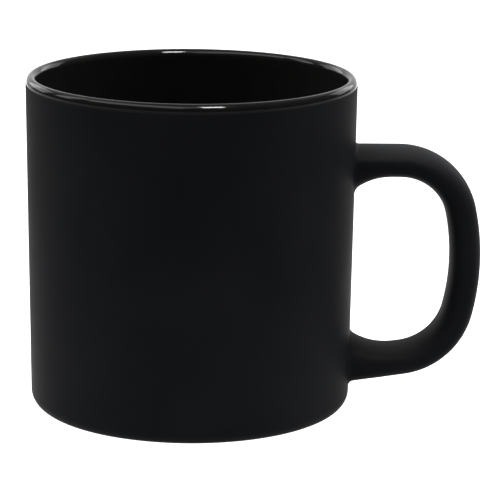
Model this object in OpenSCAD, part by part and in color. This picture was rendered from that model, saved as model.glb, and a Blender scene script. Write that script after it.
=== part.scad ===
// Straight-sided ceramic mug with a luted loop handle, a gloss liner glaze and a matt outer coat.
// The origin is on the cup's axis, on the surface that the foot ring stands on. The handle is on +X.

/* [Cup] */
// Outside diameter at the lip
cup_d = 90; // [70:0.5:120]
// Height from the table to the top of the lip
cup_h = 91.6; // [75:0.1:125]
// How much smaller the outside radius is at the table than at the lip
wall_taper = 1.05; // [0:0.05:3]
// Radius of the rounded corner where the wall turns under
base_corner_r = 4.1; // [2:0.1:6]

/* [Lip] */
// Thickness of the glazed lip
lip_t = 2.8; // [2:0.1:4]
// Height of the rounded top of the lip
lip_h = 1.9; // [1:0.1:3]
// Height of the glossy band that stays free of the matt coat
gloss_band_h = 2.2; // [2:0.1:4]
// Height of the straight stretch of bore under the lip
mouth_land_h = 15; // [5:0.5:30]

/* [Floor and foot] */
// Glazed wall thickness where the wall meets the floor
low_wall_t = 3.8; // [3:0.1:6]
// Height of the glazed floor above the table
floor_h = 6; // [4:0.1:12]
// Radius between the floor and the wall inside
floor_fillet_r = 8; // [3:0.5:15]
// Width of the bare ring that the cup stands on
foot_ring_w = 4; // [3:0.1:7]
// Depth of the recess under the cup, before it is glazed
recess_depth = 1.9; // [1:0.1:3]

/* [Glaze and coat] */
// Thickness of the gloss glaze
glaze_t = 0.35; // [0.25:0.05:0.5]
// Thickness of the matt coat
coat_t = 0.5; // [0.4:0.05:0.8]
// How far round the base corner the matt coat reaches, in degrees
coat_wrap_deg = 75; // [45:1:80]

/* [Handle] */
// Gap from the side of the cup to the middle of the grip
grip_reach = 30.5; // [24:0.5:42]
// Thickness of the finished strap, seen from the side
strap_t = 8.4; // [6:0.1:12]
// Width of the finished strap, seen from the end
strap_w = 16.5; // [12:0.5:24]
// Roundness of the strap's section: 2 is an ellipse, more is squarer
strap_squareness = 2.4; // [2:0.1:4]
// Distance from the top of the lip down to the middle of the upper arm
upper_arm_drop = 23.2; // [16:0.1:30]
// Height of the middle of the lower arm, where its bend ends
lower_arm_h = 12.7; // [10.5:0.1:20]
// Slope of the lower arm down to the wall, in degrees
lower_arm_slope = 8.5; // [0:0.5:12]
// Radius of the upper bend, on the middle of the strap
upper_bend_r = 17.4; // [12:0.1:22]
// Radius of the lower bend, on the middle of the strap
lower_bend_r = 18.3; // [12:0.1:22]
// Radius of the slight bow of the grip
grip_bow_r = 62; // [45:1:120]
// How far the middle of the bow is above the middle of the two arms
grip_mid_rise = 0.65; // [-2:0.05:2]

/* [Roots] */
// Length over which the upper arm thickens towards the wall
upper_root_len = 10.3; // [6:0.1:14]
// Radius of that thickening
upper_root_r = 14.7; // [14.5:0.1:30]
// Length over which the lower arm thickens towards the wall
lower_root_len = 14.3; // [6:0.1:18]
// Radius of that thickening
lower_root_r = 20.6; // [18.5:0.1:30]
// Radius of the finished fillet round each root
root_fillet_r = 1.2; // [0.6:0.1:2]
// Thickness of the slip between the handle and the wall
slip_t = 0.6; // [0.3:0.1:1.2]
// Radius of the slip pressed out round each root, under the coat
slip_fillet_r = 1.2; // [0.6:0.1:1.6]

/* [Hidden] */
turn_fn = 360;
arc_steps = 8;
lip_steps = 14;
strap_sides = 24;
arm_steps = 6;
bend_steps = 9;
grip_steps = 7;
fillet_steps = 4;
// How far a root runs into the wall before the wall's own surface trims it
root_embed = 2;
// Distance from the wall over which the rings of the strap stop following its curve
wall_follow_len = 10;
// Height at which the glaze of the recess stops, as an angle of the recess's round corner
recess_stop_deg = 15;

cup_r = cup_d / 2;
base_r = cup_r - wall_taper;
taper_slope = wall_taper / cup_h;
lip_mid_z = cup_h - lip_h;
coat_edge_z = cup_h - gloss_band_h;
// The foot ring ends halfway between the middle of the base corner and the coat's lower edge
foot_out_r = base_r - base_corner_r + (base_corner_r - coat_t) * cos(coat_wrap_deg) / 2;
foot_in_r = foot_out_r - foot_ring_w;

// Radius of the finished outside wall at height z
function wall_r(z) = base_r + taper_slope * z;
// Radius of the clay wall under the coat
function clay_r(z) = wall_r(z) - coat_t;

lip_mid_r = clay_r(lip_mid_z) - (lip_t / 2 - glaze_t);
mouth_r = lip_mid_r - lip_t / 2;
land_low_z = lip_mid_z - mouth_land_h;
low_mouth_r = base_r - low_wall_t;
bore_slope = (mouth_r - low_mouth_r) / (land_low_z - floor_h);

function arc(cx, cz, rx, rz, from, to, steps) =
    [for (i = [0:steps])
        let (a = from + (to - from) * i / steps)
        [cx + rx * cos(a), cz + rz * sin(a)]];
function reversed(list) = [for (i = [len(list) - 1:-1:0]) list[i]];

// Outside of the cup, from the base corner up to the wall at height top, set in by depth
corner_mid_r = wall_r(base_corner_r) - base_corner_r * norm([1, taper_slope]);
function outside(depth, top) =
    concat(arc(corner_mid_r, base_corner_r, base_corner_r - depth, base_corner_r - depth,
               -coat_wrap_deg, -atan(taper_slope), arc_steps),
           [[wall_r(top) - depth, top]]);

// Rounded top of the lip, from its outside to its inside, set in by depth
function lip_top(depth) =
    arc(lip_mid_r, lip_mid_z, lip_t / 2 - depth, lip_h - depth, 0, 180, lip_steps);

// Inside of the cup, from under the lip down to the axis, set back into the wall by depth
floor_arc_z = floor_h + floor_fillet_r;
floor_arc_r = low_mouth_r + bore_slope * floor_fillet_r - floor_fillet_r * norm([1, bore_slope]);
function inside(depth) =
    concat([[mouth_r + depth, land_low_z]],
           arc(floor_arc_r, floor_arc_z, floor_fillet_r + depth, floor_fillet_r + depth,
               -atan(bore_slope), -90, arc_steps),
           [[0, floor_h - depth]]);

// Recess under the cup, from the axis out to where its glaze stops, filled by depth
function recess(depth) =
    concat([[0, recess_depth - depth]],
           arc(foot_in_r - recess_depth, 0, recess_depth - depth, recess_depth - depth,
               90, recess_stop_deg, arc_steps));

module revolved(outline) {
    rotate_extrude($fn = turn_fn) polygon(outline);
}

// The clay cup without its hollow, for trimming the roots of the handle
module solid_cup() {
    revolved(concat([[0, 0], [foot_out_r, 0]], outside(coat_t, cup_h), [[0, cup_h]]));
}

// Middle line of the handle: rings of [x, z, direction of the outer face in degrees]
grip_x = cup_r + grip_reach;
upper_arm_z = cup_h - upper_arm_drop;
grip_mid_z = (upper_arm_z + lower_arm_h) / 2 + grip_mid_rise;
upper_bow_deg = asin((upper_arm_z - upper_bend_r - grip_mid_z) / (grip_bow_r - upper_bend_r));
lower_bow_deg = asin((grip_mid_z - lower_arm_h - lower_bend_r * cos(lower_arm_slope))
                     / (grip_bow_r - lower_bend_r));
grip_mid_x = grip_x - grip_bow_r;
upper_bend_x = grip_mid_x + (grip_bow_r - upper_bend_r) * cos(upper_bow_deg);
upper_bend_z = upper_arm_z - upper_bend_r;
lower_bend_x = grip_mid_x + (grip_bow_r - lower_bend_r) * cos(lower_bow_deg);
lower_bend_z = lower_arm_h + lower_bend_r * cos(lower_arm_slope);
lower_arm_x = lower_bend_x + lower_bend_r * sin(lower_arm_slope);
lower_root_z = lower_arm_h - (lower_arm_x - wall_r(0)) * tan(lower_arm_slope);

function bend_rings(cx, cz, r, from, to, steps) =
    [for (i = [1:steps])
        let (a = from + (to - from) * i / steps)
        [cx + r * cos(a), cz + r * sin(a), a]];
function upper_ring(gap) = [clay_r(upper_arm_z) + gap, upper_arm_z, 90];
function lower_ring(gap) =
    [clay_r(lower_root_z) + gap, lower_arm_h - (lower_arm_len - gap) * tan(lower_arm_slope),
     lower_arm_slope * max(gap, 0) / lower_arm_len - 90];

upper_arm_len = upper_bend_x - clay_r(upper_arm_z);
lower_arm_len = lower_arm_x - clay_r(lower_root_z);

// Gaps from the clay wall at which the bare strap and the coated strap take their rings on an arm
function clay_gaps(length) = [for (i = [0:arm_steps]) slip_t + (length - slip_t) * i / arm_steps];
function coat_gaps(length) =
    let (plain = coat_t + root_fillet_r)
    concat([-root_embed, 0],
           [for (i = [0:fillet_steps]) coat_t + root_fillet_r * (1 - cos(90 * i / fillet_steps))],
           [for (i = [1:arm_steps]) plain + (length - plain) * i / arm_steps]);
function loop_rings(upper_gaps, lower_gaps) = concat(
    [for (gap = upper_gaps) upper_ring(gap)],
    bend_rings(upper_bend_x, upper_bend_z, upper_bend_r, 90, upper_bow_deg, bend_steps),
    bend_rings(grip_mid_x, grip_mid_z, grip_bow_r, upper_bow_deg, -lower_bow_deg, grip_steps),
    bend_rings(lower_bend_x, lower_bend_z, lower_bend_r, -lower_bow_deg, lower_arm_slope - 90,
               bend_steps),
    [for (gap = reversed(lower_gaps)) if (gap < lower_arm_len) lower_ring(gap)]);

// Extra thickness of the inner face near a root, at a gap from the wall
function swell(gap, length, r) =
    let (run = min(max(length - gap, 0), length))
    r - sqrt(r * r - run * run);
// Extra thickness all round that makes the fillet against the wall
function fillet(gap, r) =
    let (run = min(max(r - gap, 0), r))
    r - sqrt(r * r - run * run);

// Points of one ring of the strap. grow adds to every side, and spread adds the fillet.
function strap_ring(ring, grow, spread) =
    let (gap = ring[0] - clay_r(ring[1]),
         root = ring[2] > 0 ? swell(gap, upper_root_len, upper_root_r)
                            : swell(gap, lower_root_len, lower_root_r),
         follow = min(max(1 - gap / wall_follow_len, 0), 1),
         half_t = strap_t / 2 - coat_t + grow + spread,
         half_w = strap_w / 2 - coat_t + grow + spread)
    [for (i = [0:strap_sides - 1])
        let (a = 360 * i / strap_sides,
             round_x = sign(cos(a)) * pow(abs(cos(a)), 2 / strap_squareness),
             round_y = sign(sin(a)) * pow(abs(sin(a)), 2 / strap_squareness),
             out = round_x * (half_t + (round_x < 0 ? root : 0)),
             y = round_y * half_w,
             wall = clay_r(ring[1]),
             bend_in = follow * (wall - sqrt(wall * wall - y * y)))
        [ring[0] + out * cos(ring[2]) - bend_in, y, ring[1] + out * sin(ring[2])]];

// Faces of a strap's sides between rings first and last, and of an end cut into strips across it
// so that it can follow the wall. Each can be turned inside out.
function facing(face, inward) = inward ? reversed(face) : face;
function side_faces(first, last, inward) =
    [for (k = [first:last - 1]) for (i = [0:strap_sides - 1])
        let (j = (i + 1) % strap_sides, low = k * strap_sides, high = low + strap_sides)
        each [facing([low + i, high + j, high + i], inward),
              facing([low + i, low + j, high + j], inward)]];
function end_faces(ring, inward) =
    let (n = strap_sides, low = ring * n)
    [for (i = [-n / 4:n / 4 - 1])
        let (a = low + (i + n) % n, b = low + (i + 1 + n) % n,
             c = low + (n / 2 - i - 1) % n, d = low + (n / 2 - i) % n)
        each [if (a != d) facing([a, c, d], inward), if (b != c) facing([a, b, c], inward)]];
function joined(rings) = [for (ring = rings) for (p = ring) p];

module solid_strap(rings) {
    last = len(rings) - 1;
    polyhedron(points = joined(rings), convexity = 6,
               faces = concat(side_faces(0, last, false), end_faces(0, true), end_faces(last, false)));
}

// Strap with another inside it. The rims close the gap between the two at each end.
module hollow_strap(outer, inner) {
    count = len(outer);
    last = count + len(inner) - 1;
    polyhedron(points = joined(concat(outer, inner)), convexity = 10,
               faces = concat(side_faces(0, count - 1, false), side_faces(count, last, true),
                              rim_faces(0, count, true), rim_faces(count - 1, last, false)));
}
function rim_faces(outer_ring, inner_ring, inward) =
    [for (i = [0:strap_sides - 1])
        let (j = (i + 1) % strap_sides, out = outer_ring * strap_sides, in = inner_ring * strap_sides)
        each [facing([out + i, out + j, in + i], inward),
              facing([out + j, in + j, in + i], inward)]];

clay_rings = [for (ring = loop_rings(clay_gaps(upper_arm_len), clay_gaps(lower_arm_len)))
    strap_ring(ring, 0, 0)];
coated_rings = [for (ring = loop_rings(coat_gaps(upper_arm_len), coat_gaps(lower_arm_len)))
    strap_ring(ring, coat_t, fillet(ring[0] - clay_r(ring[1]) - coat_t, root_fillet_r))];

// Rings of a pad of slip at one root, from inside the wall out to the face that seats the handle
slip_gaps = concat([-root_embed], [for (i = [0:fillet_steps]) slip_t * i / fillet_steps]);
function pad_rings(centres) =
    [for (ring = centres) strap_ring(ring, 0, fillet(ring[0] - clay_r(ring[1]), slip_fillet_r))];
upper_pad_rings = pad_rings([for (gap = slip_gaps) upper_ring(gap)]);
lower_pad_rings = pad_rings([for (gap = slip_gaps) lower_ring(gap)]);

module mug_body() {
    color("linen")
    revolved(concat(recess(0), [[foot_in_r, 0], [foot_out_r, 0]], outside(coat_t, coat_edge_z),
                    lip_top(glaze_t), inside(glaze_t)));
}

module liner_glaze() {
    color("#141414")
    revolved(concat([[clay_r(coat_edge_z), coat_edge_z], [clay_r(coat_edge_z) + glaze_t, coat_edge_z]],
                    lip_top(0), inside(0), reversed(inside(glaze_t)), reversed(lip_top(glaze_t))));
}

module base_glaze() {
    color("#1a1a1a")
    revolved(concat(recess(0), reversed(recess(glaze_t))));
}

module handle() {
    color("linen")
    solid_strap(clay_rings);
}

module upper_slip() {
    color("oldlace")
    difference() {
        solid_strap(concat(upper_pad_rings, [clay_rings[0]]));
        solid_cup();
    }
}

module lower_slip() {
    color("oldlace")
    difference() {
        solid_strap(concat([clay_rings[len(clay_rings) - 1]], reversed(lower_pad_rings)));
        solid_cup();
    }
}

module handle_coat() {
    color("#1c1d1e")
    difference() {
        hollow_strap(coated_rings,
                     concat(upper_pad_rings, clay_rings, reversed(lower_pad_rings)));
        solid_cup();
    }
}

module wall_coat() {
    color("#202122")
    difference() {
        revolved(concat(outside(0, coat_edge_z), reversed(outside(coat_t, coat_edge_z))));
        solid_strap(coated_rings);
    }
}

mug_body();
handle();
upper_slip();
lower_slip();
liner_glaze();
wall_coat();
handle_coat();
base_glaze();
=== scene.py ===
"""Matt black mug with a glossy inside and lip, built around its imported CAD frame. Sizes are in metres."""

import math

import bpy
from mathutils import Matrix, Vector


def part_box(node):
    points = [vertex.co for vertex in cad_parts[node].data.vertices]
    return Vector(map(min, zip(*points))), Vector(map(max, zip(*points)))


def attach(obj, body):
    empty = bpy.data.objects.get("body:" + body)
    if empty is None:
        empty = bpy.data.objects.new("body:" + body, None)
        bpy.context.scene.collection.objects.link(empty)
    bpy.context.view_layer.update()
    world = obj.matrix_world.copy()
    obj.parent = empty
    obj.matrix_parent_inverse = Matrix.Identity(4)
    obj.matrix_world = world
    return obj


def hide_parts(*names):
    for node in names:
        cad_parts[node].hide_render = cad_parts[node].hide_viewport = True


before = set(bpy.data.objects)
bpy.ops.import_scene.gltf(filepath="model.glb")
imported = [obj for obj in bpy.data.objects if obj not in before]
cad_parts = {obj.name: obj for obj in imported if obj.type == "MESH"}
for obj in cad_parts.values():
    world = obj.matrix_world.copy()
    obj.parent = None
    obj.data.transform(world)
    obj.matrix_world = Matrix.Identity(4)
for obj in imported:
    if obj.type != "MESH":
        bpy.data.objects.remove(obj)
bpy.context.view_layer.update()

MM = 0.001

# ---------------------------------------------------------------- sizes of the cup, from the frame
LINER_LOW, LINER_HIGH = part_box("liner_glaze")
CUP_H = LINER_HIGH.z
COAT_EDGE_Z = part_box("wall_coat")[1].z
FLOOR_UNDER_Z = LINER_LOW.z
WALL_TAPER = 1.05 * MM
COAT_T = 0.5 * MM
GLAZE_T = 0.35 * MM
CUP_R = 45.0 * MM
BASE_R = CUP_R - WALL_TAPER
TAPER_SLOPE = WALL_TAPER / CUP_H
CORNER_R = 4.1 * MM
COAT_WRAP = math.radians(75)

LIP_T = 2.8 * MM
LIP_H = 1.9 * MM
LIP_MID_Z = CUP_H - LIP_H
LAND_LOW_Z = LIP_MID_Z - 15 * MM
LOW_WALL_T = 3.8 * MM
FLOOR_Z = FLOOR_UNDER_Z + GLAZE_T
FLOOR_FILLET_R = 8 * MM

FOOT_RING_W = 4 * MM
RECESS_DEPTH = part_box("base_glaze")[1].z
FOOT_OUT_R = BASE_R - CORNER_R + (CORNER_R - COAT_T) * math.cos(COAT_WRAP) / 2
FOOT_IN_R = FOOT_OUT_R - FOOT_RING_W

# ---------------------------------------------------------------- sizes of the handle
STRAP_T = 8.4 * MM
GRIP_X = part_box("handle_coat")[1].x - STRAP_T / 2
STRAP_W = 16.5 * MM
STRAP_SQUARENESS = 2.4
UPPER_ARM_Z = CUP_H - 23.2 * MM
LOWER_ARM_Z = 12.7 * MM
LOWER_ARM_SLOPE = math.radians(8.5)
UPPER_BEND_R = 17.4 * MM
LOWER_BEND_R = 18.3 * MM
GRIP_BOW_R = 62 * MM
GRIP_MID_Z = (UPPER_ARM_Z + LOWER_ARM_Z) / 2 + 0.65 * MM
UPPER_SWELL = (10.3 * MM, 14.7 * MM)
LOWER_SWELL = (14.3 * MM, 20.6 * MM)
ROOT_FILLET_R = 1.2 * MM
WALL_FOLLOW = 10 * MM
COAT_EDGE_R = 0.3 * MM
FOOT_EDGE_R = 0.45 * MM
HOLE_MARGIN = 4.2 * MM

# ---------------------------------------------------------------- fineness of the meshes
TURN_STEPS = 256
HOLE_STEPS = 24
STRAP_SIDES = 4 * HOLE_STEPS
PATCH_RINGS = 7
FILLET_RINGS = 6
ARM_RINGS = 14
BEND_RINGS = 26
GRIP_RINGS = 18


def wall_r(z):
    """Radius of the finished outside wall at height z."""
    return BASE_R + TAPER_SLOPE * z


def arc(mid_r, mid_z, reach_r, reach_z, start, end, steps):
    """Points (radius, height) along part of an ellipse."""
    turns = [start + (end - start) * i / steps for i in range(steps + 1)]
    return [(mid_r + reach_r * math.cos(a), mid_z + reach_z * math.sin(a)) for a in turns]


def spaced(low, high, steps):
    return [low + (high - low) * i / steps for i in range(steps + 1)]


# ---------------------------------------------------------------- mesh work
class Skin:
    """Collects loops of points and the bands of faces between them, and makes one mesh of them."""

    def __init__(self):
        self.points = []
        self.faces = []

    def loop(self, points):
        first = len(self.points)
        self.points.extend(points)
        return list(range(first, len(self.points)))

    def band(self, low, high, flip=False):
        count = len(low)
        for i in range(count):
            j = (i + 1) % count
            face = (low[i], low[j], high[j], high[i])
            self.faces.append(face[::-1] if flip else face)

    def fan(self, loop, point, flip=False):
        (hub,) = self.loop([point])
        for i in range(len(loop)):
            face = (loop[i], loop[(i + 1) % len(loop)], hub)
            self.faces.append(face[::-1] if flip else face)

    def piece(self, name, material):
        used = sorted({i for face in self.faces for i in face})
        place = {old: new for new, old in enumerate(used)}
        mesh = bpy.data.meshes.new(name)
        mesh.from_pydata([self.points[i] for i in used], [],
                         [[place[i] for i in face] for face in self.faces])
        mesh.update()
        mesh.shade_smooth()
        mesh.materials.append(material)
        piece = bpy.data.objects.new(name, mesh)
        bpy.context.scene.collection.objects.link(piece)
        return piece


def turned_loop(radius, height):
    turns = [2 * math.pi * i / TURN_STEPS for i in range(TURN_STEPS)]
    return [(radius * math.cos(a), radius * math.sin(a), height) for a in turns]


def turned_piece(name, outline, material):
    """A closed outline of (radius, height) points turned round the axis. Points on the axis become hubs."""
    skin = Skin()
    loops = [skin.loop(turned_loop(*point)) if point[0] > 0 else None for point in outline]
    for i, point in enumerate(outline):
        j = (i + 1) % len(outline)
        if loops[i] and loops[j]:
            skin.band(loops[i], loops[j])
        elif loops[i]:
            skin.fan(loops[i], (0, 0, outline[j][1]))
        elif loops[j]:
            skin.fan(loops[j], (0, 0, point[1]), flip=True)
    return skin.piece(name, material)


# ---------------------------------------------------------------- outlines of the cup
LIP_MID_R = wall_r(LIP_MID_Z) - COAT_T - (LIP_T / 2 - GLAZE_T)
MOUTH_R = LIP_MID_R - LIP_T / 2
LOW_MOUTH_R = BASE_R - LOW_WALL_T
BORE_SLOPE = (MOUTH_R - LOW_MOUTH_R) / (LAND_LOW_Z - FLOOR_Z)
FLOOR_ARC_R = (LOW_MOUTH_R + BORE_SLOPE * FLOOR_FILLET_R
               - FLOOR_FILLET_R * math.hypot(1, BORE_SLOPE))
CORNER_MID_R = wall_r(CORNER_R) - CORNER_R * math.hypot(1, TAPER_SLOPE)


def lip_top(depth, start=0.0):
    """Rounded top of the lip from its outside to its inside, set in by depth."""
    return arc(LIP_MID_R, LIP_MID_Z, LIP_T / 2 - depth, LIP_H - depth, start, math.pi, 40)


def inside(depth):
    """Inside of the cup from under the lip to the middle of the floor, set back by depth."""
    bore = [(MOUTH_R + depth, z) for z in spaced(LIP_MID_Z, LAND_LOW_Z, 10)[1:]]
    fillet = arc(FLOOR_ARC_R, FLOOR_Z + FLOOR_FILLET_R, FLOOR_FILLET_R + depth,
                 FLOOR_FILLET_R + depth, -math.atan(BORE_SLOPE), -math.pi / 2, 16)
    (low_r, low_z), (high_r, high_z) = fillet[0], bore[-1]
    cone = [(high_r + (low_r - high_r) * i / 24, high_z + (low_z - high_z) * i / 24)
            for i in range(1, 24)]
    floor = [(FLOOR_ARC_R * i / 8, FLOOR_Z - depth) for i in range(7, 0, -1)]
    return bore + cone + fillet + floor + [(0, FLOOR_Z - depth)]


def recess(depth, stop):
    """Recess under the cup from the axis out to the foot ring, filled by depth."""
    flat_r = FOOT_IN_R - RECESS_DEPTH
    flat = [(flat_r * i / 8, RECESS_DEPTH - depth) for i in range(8)]
    reach = RECESS_DEPTH - depth
    return flat + arc(flat_r, 0, reach, reach, math.pi / 2, stop, 12)


def foot_ring():
    """The bare foot from its inner edge to where the coat starts, with softened edges."""
    r = FOOT_EDGE_R
    inner = arc(FOOT_IN_R + r, r, r, r, math.pi, 1.5 * math.pi, 6)
    outer = arc(FOOT_OUT_R - r, r, r, r, -math.pi / 2, -math.pi / 12, 6)
    return inner + outer


# ---------------------------------------------------------------- the handle's rings
def middle_line():
    """Rings of the grip and its two bends as (x, z, direction of the outer face)."""
    up = math.asin((UPPER_ARM_Z - UPPER_BEND_R - GRIP_MID_Z) / (GRIP_BOW_R - UPPER_BEND_R))
    down = math.asin((GRIP_MID_Z - LOWER_ARM_Z - LOWER_BEND_R * math.cos(LOWER_ARM_SLOPE))
                     / (GRIP_BOW_R - LOWER_BEND_R))
    mid_x = GRIP_X - GRIP_BOW_R
    upper = (mid_x + (GRIP_BOW_R - UPPER_BEND_R) * math.cos(up), UPPER_ARM_Z - UPPER_BEND_R)
    lower = (mid_x + (GRIP_BOW_R - LOWER_BEND_R) * math.cos(down),
             LOWER_ARM_Z + LOWER_BEND_R * math.cos(LOWER_ARM_SLOPE))
    stretches = [
        (upper, UPPER_BEND_R, math.pi / 2, up, BEND_RINGS),
        ((mid_x, GRIP_MID_Z), GRIP_BOW_R, up, -down, GRIP_RINGS),
        (lower, LOWER_BEND_R, -down, LOWER_ARM_SLOPE - math.pi / 2, BEND_RINGS),
    ]
    rings = []
    for (x, z), r, start, end, steps in stretches:
        rings += [(x + r * math.cos(a), z + r * math.sin(a), a) for a in spaced(start, end, steps)[1:]]
    lower_end_x = lower[0] + LOWER_BEND_R * math.sin(LOWER_ARM_SLOPE)
    return rings, upper[0], lower_end_x


LOOP_RINGS, UPPER_END_X, LOWER_END_X = middle_line()
UPPER_WALL_X = wall_r(UPPER_ARM_Z)
LOWER_ROOT_Z = LOWER_ARM_Z - (LOWER_END_X - BASE_R) * math.tan(LOWER_ARM_SLOPE)
LOWER_WALL_X = wall_r(LOWER_ROOT_Z)
UPPER_ARM_LEN = UPPER_END_X - UPPER_WALL_X
LOWER_ARM_LEN = LOWER_END_X - LOWER_WALL_X


def upper_ring(gap):
    return UPPER_WALL_X + gap, UPPER_ARM_Z, math.pi / 2


def lower_ring(gap):
    z = LOWER_ARM_Z - (LOWER_ARM_LEN - gap) * math.tan(LOWER_ARM_SLOPE)
    tilt = LOWER_ARM_SLOPE * max(gap, 0) / LOWER_ARM_LEN
    return LOWER_WALL_X + gap, z, tilt - math.pi / 2


def eased(share):
    share = min(max(share, 0), 1)
    return share * share * (3 - 2 * share)


def swell(gap, length, r):
    run = min(max(length - gap, 0), length)
    return r - math.sqrt(r * r - run * run)


def strap_ring(ring, gap, grow):
    """Points of one ring of the strap. Near the wall the ring takes the wall's own curve."""
    x, z, face = ring
    wall_x, root = (UPPER_WALL_X, UPPER_SWELL) if face > 0 else (LOWER_WALL_X, LOWER_SWELL)
    thick_in = STRAP_T / 2 + grow + swell(x - wall_x + COAT_T, *root)
    thick_out = STRAP_T / 2 + grow
    follow = eased(1 - gap / WALL_FOLLOW)
    points = []
    for i in range(STRAP_SIDES):
        a = 2 * math.pi * i / STRAP_SIDES
        cos_a, sin_a = math.cos(a), math.sin(a)
        reach = (abs(cos_a) ** STRAP_SQUARENESS + abs(sin_a) ** STRAP_SQUARENESS) ** (-1 / STRAP_SQUARENESS)
        out = reach * cos_a * (thick_in if cos_a < 0 else thick_out)
        y = reach * sin_a * (STRAP_W / 2 + grow)
        px, pz = x + out * math.cos(face), z + out * math.sin(face)
        on_wall = math.sqrt((wall_r(pz) + gap) ** 2 - y * y)
        points.append((px + follow * (on_wall - px), y, pz))
    return points


def strap_rings(depth):
    """All rings of the loop from the upper root to the lower one, set in by depth."""
    arms = []
    for ring_at, length in ((upper_ring, UPPER_ARM_LEN), (lower_ring, LOWER_ARM_LEN)):
        r = ROOT_FILLET_R + depth
        turns = spaced(0, math.pi / 2, FILLET_RINGS)
        near = [(r * (1 - math.cos(a)) - depth, r * (1 - math.sin(a)) - depth) for a in turns]
        far = [(gap, -depth) for gap in spaced(ROOT_FILLET_R, length, ARM_RINGS)[1:]]
        arms.append([strap_ring(ring_at(gap), gap, grow) for gap, grow in near + far])
    loop = [strap_ring(ring, ring[0] - (UPPER_WALL_X if ring[2] > 0 else LOWER_WALL_X), -depth)
            for ring in LOOP_RINGS[:-1]]
    return arms[0] + loop + arms[1][::-1]


# ---------------------------------------------------------------- the coat: wall and handle in one skin
HOLE_HALF = HOLE_STEPS // 2


def hole_heights():
    """Lowest and highest height of the opening in the wall's grid round each root."""
    rings = strap_rings(0)
    top, bottom = [[p[2] for p in ring] for ring in (rings[0], rings[-1])]
    upper = [min(top) - HOLE_MARGIN, max(top) + HOLE_MARGIN]
    lower = [CORNER_R + 0.15 * MM, max(bottom) + HOLE_MARGIN]
    return lower, upper


def coat_rows():
    """Heights of the rows of the wall's grid, and the first row of each opening."""
    lower, upper = hole_heights()
    rows = [CORNER_R] + spaced(*lower, HOLE_STEPS)
    first_low = 1
    rows += spaced(lower[1], upper[0], 20)[1:]
    first_high = len(rows) - 1
    rows += spaced(*upper, HOLE_STEPS)[1:]
    rows += spaced(upper[1], COAT_EDGE_Z - COAT_EDGE_R, 8)[1:]
    return rows, first_low, first_high


def hole_edge(grid, first, upwards):
    """The grid's points round an opening, in the order of a strap ring's points."""
    half, last = HOLE_HALF, HOLE_STEPS
    across = [(0, j) for j in range(half)]
    down = [(i, half) for i in range(last)]
    back = [(last, half - j) for j in range(last)]
    up = [(last - i, -half) for i in range(last)]
    home = [(0, j - half) for j in range(half)]
    order = across + down + back + up + home
    return [grid[first + (last - i if upwards else i)][j % TURN_STEPS] for i, j in order]


def coat_sheet(skin, depth, flip):
    """One side of the coat: the wall's grid with the strap stitched in. Returns its lowest and highest loop."""
    rows, first_low, first_high = coat_rows()
    corner = arc(CORNER_MID_R, CORNER_R, CORNER_R - depth, CORNER_R - depth,
                 -COAT_WRAP, -math.atan(TAPER_SLOPE), 10)[:-1]
    outline = corner + [(wall_r(z) - depth, z) for z in rows]
    grid = [skin.loop(turned_loop(*point)) for point in outline]
    wall_grid = grid[len(corner):]
    holes = [range(first, first + HOLE_STEPS) for first in (first_low, first_high)]
    for i in range(len(grid) - 1):
        row = i - len(corner)
        for j in range(TURN_STEPS):
            k = (j + 1) % TURN_STEPS
            near_root = j < HOLE_HALF or j >= TURN_STEPS - HOLE_HALF
            if near_root and any(row in hole for hole in holes):
                continue
            face = (grid[i][j], grid[i][k], grid[i + 1][k], grid[i + 1][j])
            skin.faces.append(face[::-1] if flip else face)
    rings = strap_rings(depth)
    loops = [skin.loop(points) for points in rings]
    for low, high in zip(loops, loops[1:]):
        skin.band(low, high, not flip)
    stitch_root(skin, loops[0], hole_edge(wall_grid, first_high, True), depth, not flip)
    stitch_root(skin, loops[-1], hole_edge(wall_grid, first_low, False), depth, flip)
    return grid[0], grid[-1]


def stitch_root(skin, root, edge, depth, flip):
    """Rings on the wall's own surface from the opening's edge to the root's outline."""
    previous = edge
    for step in range(1, PATCH_RINGS):
        share = eased(step / PATCH_RINGS) * 0.4 + step / PATCH_RINGS * 0.6
        points = []
        for far, near in zip(edge, root):
            a, b = skin.points[far], skin.points[near]
            z = a[2] + (b[2] - a[2]) * share
            turn_a, turn_b = math.atan2(a[1], a[0]), math.atan2(b[1], b[0])
            turn = turn_a + (turn_b - turn_a) * share
            r = wall_r(z) - depth
            points.append((r * math.cos(turn), r * math.sin(turn), z))
        loop = skin.loop(points)
        skin.band(previous, loop, flip)
        previous = loop
    skin.band(previous, root, flip)


def matt_coat_piece(material):
    skin = Skin()
    outer_low, outer_high = coat_sheet(skin, 0, False)
    inner_low, inner_high = coat_sheet(skin, COAT_T, True)
    edge = arc(wall_r(COAT_EDGE_Z) - COAT_EDGE_R, COAT_EDGE_Z - COAT_EDGE_R, COAT_EDGE_R, COAT_EDGE_R,
               0, math.pi / 2, 6)[1:]
    previous = outer_high
    for point in edge:
        loop = skin.loop(turned_loop(*point))
        skin.band(previous, loop)
        previous = loop
    skin.band(previous, inner_high)
    skin.band(inner_low, outer_low)
    return skin.piece("matt_coat", material)


# ---------------------------------------------------------------- shader groups
def put(tree, kind, inputs=None, **settings):
    """Adds a node. An input can be a value or the output of another node."""
    made = tree.nodes.new(kind)
    for key, value in settings.items():
        setattr(made, key, value)
    for key, value in (inputs or {}).items():
        if isinstance(value, bpy.types.NodeSocket):
            tree.links.new(value, made.inputs[key])
        else:
            made.inputs[key].default_value = value
    return made


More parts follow.
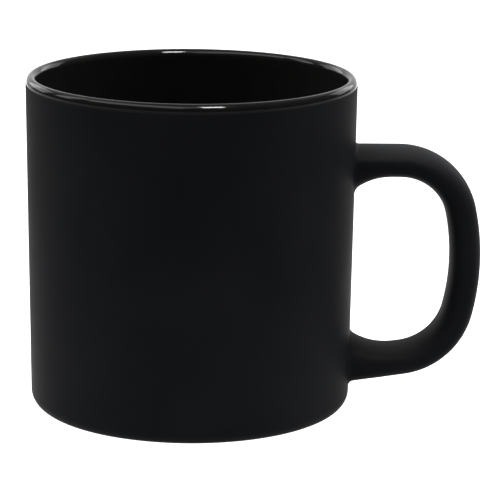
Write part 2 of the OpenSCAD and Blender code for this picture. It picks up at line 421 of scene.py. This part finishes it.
def new_group(name, inputs, outputs):
    """A shader node group with named float inputs and outputs. Returns it and its two end nodes."""
    tree = bpy.data.node_groups.new(name, "ShaderNodeTree")
    for key, value in inputs.items():
        tree.interface.new_socket(key, in_out="INPUT", socket_type="NodeSocketFloat").default_value = value
    for key in outputs:
        tree.interface.new_socket(key, in_out="OUTPUT", socket_type="NodeSocketFloat")
    return tree, put(tree, "NodeGroupInput").outputs, put(tree, "NodeGroupOutput").inputs


def in_mm(tree, size):
    """Object coordinates divided by a size in millimetres."""
    place = put(tree, "ShaderNodeTexCoord").outputs["Object"]
    per_mm = put(tree, "ShaderNodeMath", {0: 1000.0, 1: size}, operation="DIVIDE").outputs[0]
    return put(tree, "ShaderNodeVectorMath", {0: place, "Scale": per_mm}, operation="SCALE").outputs[0]


def fired_grain_group():
    """Fine grain of a fired surface: low bumps with pits between them."""
    tree, given, out = new_group("fired_grain", {"Size mm": 0.4, "Pits": 0.5}, ["Height", "Tone"])
    place = in_mm(tree, given["Size mm"])
    bumps = put(tree, "ShaderNodeTexNoise", {"Vector": place, "Scale": 1.0, "Detail": 5.0, "Roughness": 0.6})
    cells = put(tree, "ShaderNodeTexVoronoi", {"Vector": place, "Scale": 0.8}, feature="SMOOTH_F1")
    pit = put(tree, "ShaderNodeMapRange", {"Value": cells.outputs["Distance"], "From Min": 0.05,
                                           "From Max": 0.3, "To Min": -0.5, "To Max": 0.0})
    depth = put(tree, "ShaderNodeMath", {0: pit.outputs[0], 1: given["Pits"]}, operation="MULTIPLY")
    total = put(tree, "ShaderNodeMath", {0: bumps.outputs[0], 1: depth.outputs[0]}, operation="ADD")
    tree.links.new(total.outputs[0], out["Height"])
    tree.links.new(bumps.outputs[0], out["Tone"])
    return tree


def slow_drift_group():
    """Soft changes over centimetres, as a dip or a spray leaves them."""
    tree, given, out = new_group("slow_drift", {"Size mm": 20.0, "Low": 0.0, "High": 1.0}, ["Value"])
    cloud = put(tree, "ShaderNodeTexNoise", {"Vector": in_mm(tree, given["Size mm"]), "Scale": 1.0,
                                             "Detail": 3.0, "Distortion": 0.3})
    spread = put(tree, "ShaderNodeMapRange", {"Value": cloud.outputs[0], "From Min": 0.3, "From Max": 0.7,
                                              "To Min": given["Low"], "To Max": given["High"]})
    tree.links.new(spread.outputs[0], out["Value"])
    return tree


def iron_specks_group():
    """Small dark specks of iron in the clay, of different sizes."""
    tree, given, out = new_group("iron_specks", {"Spacing mm": 1.6, "Share": 0.3}, ["Speck"])
    cells = put(tree, "ShaderNodeTexVoronoi", {"Vector": in_mm(tree, given["Spacing mm"]), "Scale": 1.0})
    pick = put(tree, "ShaderNodeSeparateColor", {0: cells.outputs["Color"]})
    chosen = put(tree, "ShaderNodeMath", {0: pick.outputs[0], 1: given["Share"]}, operation="LESS_THAN")
    reach = put(tree, "ShaderNodeMapRange", {"Value": pick.outputs[1], "To Min": 0.06, "To Max": 0.2})
    inside_it = put(tree, "ShaderNodeMapRange", {"Value": cells.outputs["Distance"],
                                                 "From Min": reach.outputs[0], "From Max": 0.02})
    speck = put(tree, "ShaderNodeMath", {0: chosen.outputs[0], 1: inside_it.outputs[0]}, operation="MULTIPLY")
    tree.links.new(speck.outputs[0], out["Speck"])
    return tree


FIRED_GRAIN = fired_grain_group()
SLOW_DRIFT = slow_drift_group()
IRON_SPECKS = iron_specks_group()


# ---------------------------------------------------------------- materials
def new_material(name):
    material = bpy.data.materials.new(name)
    material.use_nodes = True
    return material, material.node_tree, material.node_tree.nodes["Principled BSDF"]


def group(tree, which, **inputs):
    made = put(tree, "ShaderNodeGroup", node_tree=which)
    for key, value in inputs.items():
        made.inputs[key.replace("_", " ")].default_value = value
    return made.outputs


def blend(tree, share, first, second, kind="MIX"):
    mix = put(tree, "ShaderNodeMix", data_type="RGBA", blend_type=kind)
    for key, value in ((0, share), (6, first), (7, second)):
        if isinstance(value, bpy.types.NodeSocket):
            tree.links.new(value, mix.inputs[key])
        else:
            mix.inputs[key].default_value = (*value, 1) if key else value
    return mix.outputs[2]


def between(tree, value, low, high):
    return put(tree, "ShaderNodeMapRange", {"Value": value, "To Min": low, "To Max": high}).outputs[0]


def bump(tree, shader, height, distance_mm, strength=1.0):
    made = put(tree, "ShaderNodeBump", {"Height": height, "Distance": distance_mm * MM, "Strength": strength})
    tree.links.new(made.outputs[0], shader.inputs["Normal"])


def matt_coat_material():
    material, tree, shader = new_material("matt_black_coat")
    grain = group(tree, FIRED_GRAIN, Size_mm=0.35, Pits=0.35)
    drift = group(tree, SLOW_DRIFT, Size_mm=26.0)
    both = put(tree, "ShaderNodeMath", {0: grain["Tone"], 1: drift["Value"]}, operation="ADD").outputs[0]
    share = put(tree, "ShaderNodeMapRange", {"Value": both, "From Min": 0.4, "From Max": 1.6}).outputs[0]
    tree.links.new(blend(tree, share, (0.0042, 0.0046, 0.0053), (0.0061, 0.0065, 0.0072)),
                   shader.inputs["Base Color"])
    tree.links.new(between(tree, share, 0.44, 0.56), shader.inputs["Roughness"])
    shader.inputs["Specular IOR Level"].default_value = 0.009
    bump(tree, shader, grain["Height"], 0.014)
    return material


def gloss_material():
    material, tree, shader = new_material("gloss_black_glaze")
    wave = group(tree, SLOW_DRIFT, Size_mm=7.0)
    pits = group(tree, FIRED_GRAIN, Size_mm=1.3, Pits=0.2)
    tree.links.new(blend(tree, wave["Value"], (0.0032, 0.0032, 0.0033), (0.0040, 0.0039, 0.0039)),
                   shader.inputs["Base Color"])
    tree.links.new(between(tree, pits["Tone"], 0.05, 0.11), shader.inputs["Roughness"])
    shader.inputs["Specular IOR Level"].default_value = 0.12
    skin = put(tree, "ShaderNodeMath", {0: wave["Value"], 1: pits["Height"]}, operation="ADD")
    bump(tree, shader, skin.outputs[0], 0.008)
    return material


def stoneware_material(name, pale, dark, grain_mm, bump_mm, share):
    """Bare clay: sandy grain, a slow change of tone from the firing, and iron specks."""
    material, tree, shader = new_material(name)
    grain = group(tree, FIRED_GRAIN, Size_mm=grain_mm, Pits=0.8)
    drift = group(tree, SLOW_DRIFT, Size_mm=12.0)
    specks = group(tree, IRON_SPECKS, Share=share)
    tone = put(tree, "ShaderNodeMath", {0: grain["Tone"], 1: drift["Value"]}, operation="MULTIPLY")
    clay = blend(tree, tone.outputs[0], pale, dark)
    tree.links.new(blend(tree, specks["Speck"], clay, (0.10, 0.06, 0.035)), shader.inputs["Base Color"])
    tree.links.new(between(tree, grain["Tone"], 0.74, 0.94), shader.inputs["Roughness"])
    bump(tree, shader, grain["Height"], bump_mm)
    return material


COAT_MATERIAL = matt_coat_material()
GLOSS_MATERIAL = gloss_material()
CLAY_MATERIAL = stoneware_material("bare_stoneware", (0.62, 0.55, 0.45), (0.46, 0.39, 0.30), 0.5, 0.05, 0.35)
SLIP_MATERIAL = stoneware_material("fired_slip", (0.66, 0.60, 0.51), (0.54, 0.47, 0.38), 0.25, 0.02, 0.1)

# ---------------------------------------------------------------- pieces
def settle(piece, slot, *nodes):
    """Ties a piece to the mug's body, in place of the CAD nodes that it stands for."""
    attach(piece, "root")
    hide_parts(*nodes)


settle(matt_coat_piece(COAT_MATERIAL), "matt_coat", "wall_coat", "handle_coat")

CLAY_EDGE_R = wall_r(COAT_EDGE_Z) - COAT_T
liner = turned_piece(
    "gloss_liner",
    [(CLAY_EDGE_R, COAT_EDGE_Z), (CLAY_EDGE_R + GLAZE_T, COAT_EDGE_Z)] + lip_top(0) + inside(0)
    + inside(GLAZE_T)[::-1] + lip_top(GLAZE_T)[::-1],
    GLOSS_MATERIAL)
settle(liner, "gloss_glaze", "liner_glaze")

CLAY_CORNER = arc(CORNER_MID_R, CORNER_R, CORNER_R - COAT_T, CORNER_R - COAT_T,
                  -COAT_WRAP, -math.atan(TAPER_SLOPE), 10)
body = turned_piece(
    "clay_body",
    recess(0, 0.1) + foot_ring() + CLAY_CORNER
    + [(wall_r(z) - COAT_T, z) for z in spaced(CORNER_R, COAT_EDGE_Z, 20)[1:]]
    + lip_top(GLAZE_T) + inside(GLAZE_T),
    CLAY_MATERIAL)
settle(body, "bare_clay", "mug_body")

STOP = math.radians(15)
base = turned_piece("base_gloss", recess(0, STOP) + recess(GLAZE_T, STOP)[::-1], GLOSS_MATERIAL)
settle(base, "gloss_glaze", "base_glaze")

for name, material in (("handle", CLAY_MATERIAL), ("upper_slip", SLIP_MATERIAL), ("lower_slip", SLIP_MATERIAL)):
    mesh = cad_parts[name].data
    mesh.materials.clear()
    mesh.materials.append(material)


# ---------------------------------------------------------------- floor, light and camera
def softbox(name, place, target, size, radiance, only=None, tint=(1, 1, 1)):
    """A rectangular light. Its brightness is given as radiance, so its size can change alone."""
    data = bpy.data.lights.new(name, "AREA")
    data.shape = "RECTANGLE"
    data.size, data.size_y = size
    data.energy = radiance * math.pi * size[0] * size[1]
    data.color = tint
    light = bpy.data.objects.new(name, data)
    light.location = place
    light.rotation_euler = (Vector(target) - Vector(place)).to_track_quat("-Z", "Y").to_euler()
    light.visible_glossy = only != "diffuse"
    light.visible_diffuse = only != "glossy"
    bpy.context.scene.collection.objects.link(light)


def make_floor():
    """A pale table with a painted pool of light: it glows most round the cup, filling in the cup's shadow,
    glows more evenly behind it, and can be seen through from below.
    """
    material, tree, shader = new_material("pale_floor")
    drift = group(tree, SLOW_DRIFT, Size_mm=400.0)
    tree.links.new(blend(tree, drift["Value"], (0.136, 0.139, 0.146), (0.144, 0.147, 0.154)),
                   shader.inputs["Base Color"])
    place = put(tree, "ShaderNodeTexCoord").outputs["Object"]
    across, along, _ = put(tree, "ShaderNodeSeparateXYZ", {0: place}).outputs
    away = put(tree, "ShaderNodeVectorMath", {0: place}, operation="LENGTH").outputs["Value"]
    # painted light: the floor's glow is full within 7 cm of the cup and drops to a lower glow further out. It
    # fades to nothing towards the front and sides. Near the cup it fills in the cup's shadow and lights its
    # lower wall from below, though the floor is no lamp.
    glow = put(tree, "ShaderNodeMapRange", {"Value": away, "From Min": 0.07, "From Max": 0.22,
                                            "To Min": 1.0, "To Max": 0.57}).outputs[0]
    for value, low, high in ((along, -0.27, -0.08), (across, -0.35, -0.14), (across, 0.46, 0.20)):
        edge = put(tree, "ShaderNodeMapRange", {"Value": value, "From Min": low, "From Max": high},
                   interpolation_type="SMOOTHSTEP").outputs[0]
        glow = put(tree, "ShaderNodeMath", {0: glow, 1: edge}, operation="MULTIPLY").outputs[0]
    # the painted pool of light goes into the floor's emission
    tree.links.new(blend(tree, glow, (0, 0, 0), (0.92, 0.92, 0.93)), shader.inputs["Emission Color"])
    shader.inputs["Emission Strength"].default_value = 1.42
    under = put(tree, "ShaderNodeNewGeometry").outputs["Backfacing"]
    tree.links.new(between(tree, under, 1.0, 0.0), shader.inputs["Alpha"])
    shader.inputs["Roughness"].default_value = 0.9
    shader.inputs["Specular IOR Level"].default_value = 0.1
    skin = Skin()
    half, low = 3.0, -0.02 * MM
    corners = [(-half, -half, low), (half, -half, low), (half, half, low), (-half, half, low)]
    skin.faces.append(tuple(skin.loop(corners)))
    skin.piece("floor", material)


def make_world():
    world = bpy.data.worlds.new("studio")
    bpy.context.scene.world = world
    world.use_nodes = True
    background = world.node_tree.nodes["Background"]
    background.inputs["Color"].default_value = (0.96, 0.98, 1, 1)
    background.inputs["Strength"].default_value = 0.06


def make_camera():
    yaw, pitch, roll = math.radians(1.286), math.radians(13.576), math.radians(0.653)
    forward = Vector((math.sin(yaw) * math.cos(pitch), math.cos(yaw) * math.cos(pitch), -math.sin(pitch)))
    right = Vector((math.cos(yaw), -math.sin(yaw), 0))
    up = right.cross(forward)
    side = right * math.cos(roll) + up * math.sin(roll)
    top = up * math.cos(roll) - right * math.sin(roll)
    turn = Matrix((side, top, -forward)).transposed().to_4x4()
    data = bpy.data.cameras.new("camera")
    data.sensor_width = 36
    data.lens = 195.3
    data.clip_start = 0.05
    camera = bpy.data.objects.new("camera", data)
    camera.matrix_world = Matrix.Translation((0, -725.3 * MM, 218.1 * MM)) @ turn
    bpy.context.scene.collection.objects.link(camera)
    bpy.context.scene.camera = camera


make_floor()
make_world()
make_camera()
LIP = (0, 0, CUP_H)
softbox("floor_light", (0, 0.45, 0.9), (0, 0.45, 0), (2.4, 1.6), 12.4, "diffuse", (1, 0.96, 0.91))
softbox("long_box", (-0.5, -0.5, 0.99), LIP, (1.4, 0.56), 5.4, "glossy")
softbox("side_box", (-1.12, 0.24, 0.82), LIP, (0.36, 0.8), 5.0, "glossy")
softbox("small_lamp", (0.22, -0.67, 0.98), LIP, (0.24, 0.33), 90.0, "glossy")
softbox("back_ceiling", (0, 1.0, 1.1), LIP, (2.6, 1.3), 0.6)
softbox("backdrop", (0, 1.7, 0.45), LIP, (3.0, 0.9), 0.95)
softbox("left_panel", (-0.95, 1.0, 0.5), LIP, (0.8, 0.6), 2.6, "glossy")
softbox("right_panel", (0.95, 1.0, 0.5), LIP, (0.8, 0.6), 2.6, "glossy")
bpy.context.scene.view_settings.view_transform = "Standard"
